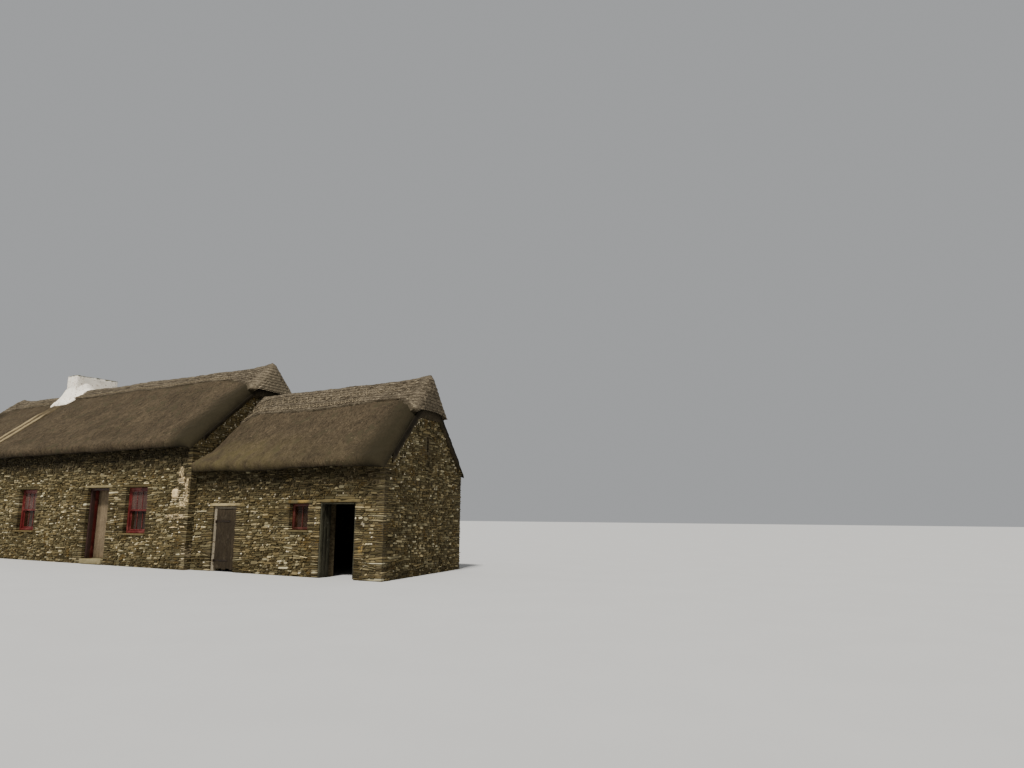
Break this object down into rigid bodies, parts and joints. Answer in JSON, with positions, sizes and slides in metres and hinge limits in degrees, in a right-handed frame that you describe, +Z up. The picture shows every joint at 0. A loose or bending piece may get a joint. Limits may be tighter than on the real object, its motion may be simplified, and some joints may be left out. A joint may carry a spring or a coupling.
{
  "type": "thatched stone farmhouse with byre",
  "caption": "Low row of rubble-stone rooms under hooded thatch: a dwelling with a limed chimney, an end room and a lower byre, with two doors that swing.",
  "frame": {"origin": "ground level in the front face of the house wall, below the middle of the house doorway", "axes": "+X along the row towards the byre, +Y into the depth of the building, +Z up"},
  "size_m": [21.3014, 6.1504, 6.4695],
  "materials": {
    "rubble_stone": "rough rubble in thin courses, grey-brown with cream flecks",
    "thatch": "weathered dark grey-brown thatch",
    "ridge_straw": "coarse lighter straw, netted",
    "lime": "lime-washed render, stained at the top",
    "slate": "split stone, worn",
    "crimson_paint": "crimson paint, faded",
    "glass": "old window glass",
    "grey_boards": "light grey paint, worn",
    "dark_boards": "weathered dark boards",
    "pale_wood": "bare pale timber",
    "iron": "black wrought iron",
    "round_wood": "barked poles"
  },
  "bodies": {
    "masonry": {"room_front_wall": "rubble_stone", "room_back_wall": "rubble_stone", "room_end_gable": "rubble_stone", "hearth_wall": "rubble_stone", "house_front_west": "rubble_stone", "house_front_east": "rubble_stone", "house_door_head": "rubble_stone", "house_back_wall": "rubble_stone", "house_end_gable": "rubble_stone", "byre_front_west": "rubble_stone", "byre_front_middle": "rubble_stone", "byre_front_east": "rubble_stone", "byre_door_head": "rubble_stone", "byre_doorway_head": "rubble_stone", "byre_back_wall": "rubble_stone", "byre_end_gable": "rubble_stone", "room_thatch": "thatch", "house_thatch": "thatch", "byre_thatch": "thatch", "roof_joint": "thatch", "room_ridge_cap": "ridge_straw", "house_ridge_cap": "ridge_straw", "byre_ridge_cap": "ridge_straw", "chimney_stack": "lime", "chimney_skirt": "lime", "stone_lintels": "rubble_stone", "window_sills": "slate", "room_window": "crimson_paint", "west_window": "crimson_paint", "east_window": "crimson_paint", "byre_window": "crimson_paint", "window_glass": "glass", "house_door_frame": "crimson_paint", "house_threshold": "slate", "byre_door_frame": "pale_wood", "hinge_pintles": "iron", "byre_doorway_lining": "dark_boards", "room_couples": "round_wood", "house_couples": "round_wood", "byre_couples": "round_wood", "roof_poles": "round_wood"},
    "house_door": {"house_door_leaf": "grey_boards", "house_door_straps": "iron"},
    "byre_door": {"byre_door_leaf": "dark_boards", "byre_door_straps": "iron"}
  },
  "joints": [
    {"name": "house_door_hinge", "type": "hinge", "parent": "masonry", "child": "house_door", "pos_m": [-0.459, 0.387, 1.155], "axis": [0, 0, 1], "range_deg": [0, 95]},
    {"name": "byre_door_hinge", "type": "hinge", "parent": "masonry", "child": "byre_door", "pos_m": [4.9315, 0.233, 0.8175], "axis": [0, 0, -1], "range_deg": [0, 100]}
  ]
}
